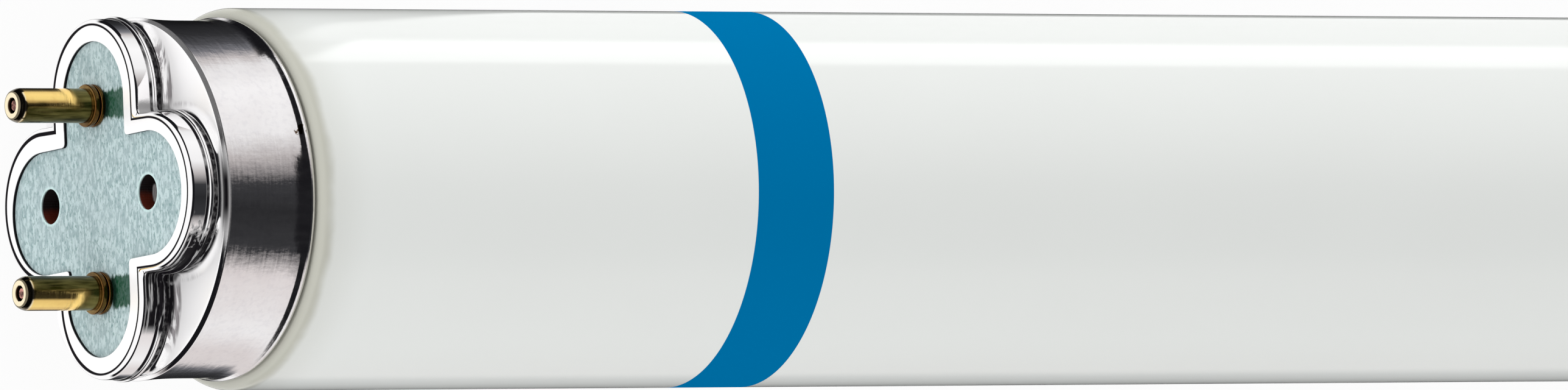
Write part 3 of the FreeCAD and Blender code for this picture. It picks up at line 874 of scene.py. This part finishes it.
class LAMP_OT_glass(bpy.types.Operator):
    """Turn the sealed glass tube, drawn in at both ends"""
    bl_idname = "lamp.glass"
    bl_label = "Glass tube"

    def execute(self, context):
        lamp = settings(context)
        glass = lamp.glass
        near_end = [
            (FRONT - GLASS_END, 0.0, 0.0),
            (FRONT - GLASS_END, glass.neck_radius, glass.end_round),
            (glass.shoulder_start, glass.neck_radius, 0.35 * MM),
            (glass.shoulder_start, GLASS_RADIUS, glass.shoulder_round)]
        far_end = [(2 * FRONT - along, out, turn) for along, out, turn in reversed(near_end)]
        outline = rounded_outline(near_end + far_end, steps=13)
        off_axis = outline[:, 1] > 0.02 * MM
        outline = outline[off_axis]
        tube = turned("glass_tube_blown", outline, glass.columns, ENDS["near"], poles=True)
        fit(tube, coated_glass(lamp), "glass_tube")
        return {"FINISHED"}


class LAMP_OT_caps(bpy.types.Operator):
    """Draw both aluminium caps with their lips, beads, feet and rolled rims"""
    bl_idname = "lamp.caps"
    bl_label = "Caps"

    def execute(self, context):
        lamp = settings(context)
        metal = aluminium(lamp)
        for end, heading in ENDS.items():
            shell = solid(f"cap_{end}", CapSurface(lamp.cap).grid(heading))
            fit(shell, metal, f"cap_shell_{end}")
        return {"FINISHED"}


class LAMP_OT_pins(bpy.types.Operator):
    """Turn the four hollow pins with their rounded tips, beaded collars and spread heads"""
    bl_idname = "lamp.pins"
    bl_label = "Pins"

    def execute(self, context):
        lamp = settings(context)
        pin, brass = lamp.pin, bright_brass(lamp)
        front, bead, sharp = pin.front_length, pin.collar_length / 2, 0.03 * MM
        groove, groove_end = pin.collar_radius - 0.26 * MM, front - bead * 0.78
        back = front + pin.board
        tail = back + pin.head_length
        outline = rounded_outline([
            (pin.chamfer, pin.hole_radius, 0.05 * MM),
            (0.0, pin.hole_radius + pin.chamfer, 0.06 * MM),
            (0.0, pin.tip_radius, 0.12 * MM),
            (pin.tip_length, pin.radius, 0.2 * MM),
            (front - 2 * bead, pin.radius, sharp),
            (front - 2 * bead, pin.collar_radius, bead * 0.45),
            (front - bead, pin.collar_radius, bead * 0.45),
            (front - bead, groove, sharp),
            (groove_end, groove, sharp),
            (groove_end, pin.collar_radius, bead * 0.35),
            (front, pin.collar_radius, bead * 0.45),
            (front, pin.radius, sharp),
            (back, pin.radius, sharp),
            (back, pin.head_radius, 0.1 * MM),
            (tail, pin.head_radius, 0.1 * MM),
            (tail, pin.bore_radius, 0.1 * MM),
            (pin.bore_start, pin.bore_radius, 0.1 * MM),
            (pin.bore_start, pin.hole_radius, 0.04 * MM),
        ])
        outline[:, 0] -= PIN_TIP - FRONT
        for end, heading in ENDS.items():
            for side, way in SIDES.items():
                made = turned(f"contact_pin_{end}_{side}", outline, pin.columns, heading,
                              across=way * PIN_HEIGHT)
                fit(made, brass, f"pin_{end}_{side}")
        return {"FINISHED"}


class LAMP_OT_fittings(bpy.types.Operator):
    """Finish the insulating boards, the lead-in wires and the basing cement"""
    bl_idname = "lamp.fittings"
    bl_label = "Boards, wires and cement"

    def execute(self, context):
        lamp = settings(context)
        refinish(pressed_board(lamp), *(f"insulating_plate_{end}" for end in ENDS))
        refinish(dull_copper(lamp), *(f"lead_wire_{end}_{side}" for end in ENDS for side in SIDES))
        refinish(baked_cement(lamp), *(f"cement_ring_{end}" for end in ENDS))
        return {"FINISHED"}


def flat_card(name, corners, material):
    """A flat four-cornered card, part of the studio."""
    mesh = bpy.data.meshes.new(name)
    mesh.from_pydata(corners, [], [(0, 1, 2, 3)])
    mesh.materials.append(material)
    card = placed(name, mesh)
    return card


def unit(vector):
    return vector / np.linalg.norm(vector)


# What polished metal mirrors in its length: the angle from straight up towards +Y in degrees, and
# the brightness of the white tent there. The gaps in the tent are dark.
TENT = ((-180, 0.012), (-164, 0.026), (-155, 0.048), (-147, 0.16), (-139, 0.72), (-122, 0.74),
        (-100, 0.9), (-54, 0.76), (-38, 0.036), (-12, 0.022), (6, 0.04), (23, 0.52), (40, 0.9),
        (72, 0.98), (92, 0.86), (101, 0.6), (109, 0.2), (118, 0.08), (130, 0.03), (158, 0.008))
WHITE = (1.0, 1.0, 1.0)
WARM_GREY = (1.0, 0.945, 0.935)
COLD_BLACK = (1.0, 1.02, 1.12)


def white_floor():
    size, level = 3.0, -GLASS_RADIUS
    grey, own_light = 0.88, 0.92
    paint = Paint.named("white_floor")
    cloth = paint.node("ShaderNodeBsdfDiffuse", sockets={"Color": (grey, grey, grey, 1.0)})
    white = paint.node("ShaderNodeEmission", sockets={"Strength": 1.0})
    paint.put(paint.mixed(paint.seen() * own_light, cloth, white))
    floor = flat_card("floor", [(-size, -size, level), (size, -size, level),
                                (size, size, level), (-size, size, level)], paint.material)
    floor.visible_glossy = False


def tent(paint):
    """The tent round the lamp, as mirrored rays see it: white in front of the cap, dark gaps at its
    sides, which are wider above and behind it, then broad white panels that run along the lamp, and
    white again at its far end and low beside the cap."""
    x, y, z = paint.split(paint.node("ShaderNodeTexCoord", out="Generated"))
    turn = paint.math("ARCTAN2", y, z) * (0.5 / np.pi) + 0.5
    stops = []
    for angle, level in TENT:
        tint = WARM_GREY if 0.3 < level < 0.8 else COLD_BLACK if level < 0.3 else WHITE
        stops.append((angle / 360 + 0.5, [level * part for part in tint]))
    behind = z.rise(0.1, -0.15) * y.rise(-0.1, 0.1)
    core = (z - y * 0.12).rise(0.81, 0.86) * 0.8
    side = (x - paint.largest(behind, core) * 0.33).rise(0.05, 0.19)
    front = x.rise(-0.33, -0.43)
    end = x.rise(0.8, 0.92)
    under = z.rise(-0.68, -0.78) * x.rise(0.45, 0.34)
    shade = paint.blend(side, (0.008, 0.008, 0.01), paint.ramp(turn, stops))
    return paint.blend(paint.largest(front, end, under), shade, WHITE)


def sky(stage):
    world = bpy.data.worlds.new("studio")
    world.use_nodes = True
    paint = Paint(world.node_tree)
    grey = paint.seen().rise(0.0, 1.0, stage.sky, 1.0)
    shade = paint.blend(paint.ray("Glossy"), grey, tent(paint))
    paint.put(paint.node("ShaderNodeBackground", sockets={"Color": shade}), "World")
    bpy.context.scene.world = world


def glow(name, side, low, high, start, level):
    """An upright glowing card beside the glass, which shows in it alone. In millimetres: side is how
    far it stands from the axis, low and high each give where an edge starts and where the card is
    full, and start is where its near end stands, which leans away as it goes down."""
    left, far_end, slope = -FRONT + start * MM, 1.6, 0.73
    paint = Paint.named(name)
    x, y, z = paint.place()[1:]
    lean = paint.largest(high[1] * MM - z, 0.0) * slope
    soft = z.step(*low) * z.step(*high) * (x - lean).step(0.0, side * 0.1, at=left)
    light = paint.node("ShaderNodeEmission", sockets={"Strength": level})
    paint.put(paint.mixed(soft, paint.node("ShaderNodeBsdfTransparent"), light))
    card = flat_card(name, [(along, side * MM, up * MM) for along, up in (
        (left, low[0]), (far_end, low[0]), (far_end, high[0]), (left, high[0]))], paint.material)
    for rays in ("camera", "diffuse", "shadow", "transmission"):
        setattr(card, f"visible_{rays}", False)


def lights(stage):
    """Soft square lamps, each with its place, width and share of the key's power."""
    for name, place, width, share in (("key", (-0.24, 1.0, 0.0), 0.7, 1.0),
                                      ("fill", (-0.9, -0.8, 0.4), 0.7, 0.3),
                                      ("front", (-1.3, 0.05, 0.12), 0.5, 0.5)):
        light = bpy.data.lights.new(name, "AREA")
        light.energy = stage.key * share
        light.size = width
        holder = placed(name, light)
        toward = Vector(place) - Vector((-FRONT, 0, 0))
        holder.rotation_euler = toward.to_track_quat("Z", "Y").to_euler()
        holder.location = place
        holder.visible_glossy = False


def set_camera(lamp):
    """A long lens whose picture has the board's centre at a given column and row, the lamp
    running right and away at the angle turn, and rolled about its own axis."""
    stage = lamp.stage
    wide, high = 2576, 640
    column, row = 162.5, 327.3
    sensor = 36.0
    scale = stage.distance * sensor / (stage.lens * wide)
    board = np.array([(column - wide / 2) * scale, (high / 2 - row) * scale, -stage.distance])
    sight = unit(board)
    right = unit(np.cross(sight, (0.0, 1.0, 0.0)))
    raised = np.cross(right, sight)
    axis = np.cos(stage.turn) * sight + np.sin(stage.turn) * right
    level = np.cross(axis, raised)
    upright = np.cos(stage.roll) * raised - np.sin(stage.roll) * level
    sideways = np.cos(stage.roll) * level + np.sin(stage.roll) * raised
    turn = np.stack([axis, upright, sideways])
    spot = np.array([-FRONT + lamp.cap.gauge, 0.0, 0.0]) - turn @ board
    camera = bpy.data.cameras.new("camera")
    camera.lens = stage.lens
    camera.sensor_width = sensor
    camera.clip_start = 0.05
    camera.clip_end = 20.0
    holder = placed("camera", camera)
    holder.matrix_world = Matrix.Translation(spot) @ Matrix(turn.tolist()).to_4x4()
    bpy.context.scene.camera = holder


class LAMP_OT_stage(bpy.types.Operator):
    """Set the floor, the soft light, the tent that metal mirrors, and the camera"""
    bl_idname = "lamp.stage"
    bl_label = "Stage"

    def execute(self, context):
        lamp = settings(context)
        context.scene.view_settings.view_transform = "Standard"
        white_floor()
        sky(lamp.stage)
        glow("strip_light", 24, (2.2, 4.8), (11.4, 9.6), 19.5, 3.7)
        glow("pale_haze", 24.5, (-8, -2), (5, 2.4), 19.5, 1.05)
        glow("white_sheet", 60, (-110, -95), (-22, -34), 54, 1.0)
        lights(lamp.stage)
        set_camera(lamp)
        return {"FINISHED"}


class LAMP_PT_panel(bpy.types.Panel):
    """Lists the lamp's pieces, sizes and colours"""
    bl_idname = "LAMP_PT_panel"
    bl_label = "Fluorescent lamp"
    bl_space_type = "VIEW_3D"
    bl_region_type = "UI"
    bl_category = "Lamp"

    def draw(self, context):
        for group in vars(settings(context)).values():
            for name in group.__annotations__:
                self.layout.prop(group, name, text=name.replace("_", " ").capitalize())
        for operator in OPERATORS:
            self.layout.operator(operator.bl_idname)


GROUPS = {"cap": LampCap, "glass": LampGlass, "pin": LampPin, "colours": LampColours,
          "stage": LampStage}
OPERATORS = (LAMP_OT_glass, LAMP_OT_caps, LAMP_OT_fittings, LAMP_OT_pins, LAMP_OT_stage)


def register():
    for group in (*GROUPS.values(), *OPERATORS, LAMP_PT_panel):
        bpy.utils.register_class(group)
    for name, group in GROUPS.items():
        setattr(bpy.types.Scene, f"lamp_{name}", PointerProperty(type=group))


def unregister():
    for name in GROUPS:
        delattr(bpy.types.Scene, f"lamp_{name}")
    for group in (LAMP_PT_panel, *OPERATORS, *GROUPS.values()):
        bpy.utils.unregister_class(group)


def corners(bounds):
    return [[float(number) for number in corner] for corner in bounds]


def main():
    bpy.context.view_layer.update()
    register()
    bpy.ops.lamp.glass()
    bpy.ops.lamp.caps()
    bpy.ops.lamp.fittings()
    bpy.ops.lamp.pins()
    bpy.ops.lamp.stage()


if __name__ == "__main__":
    main()
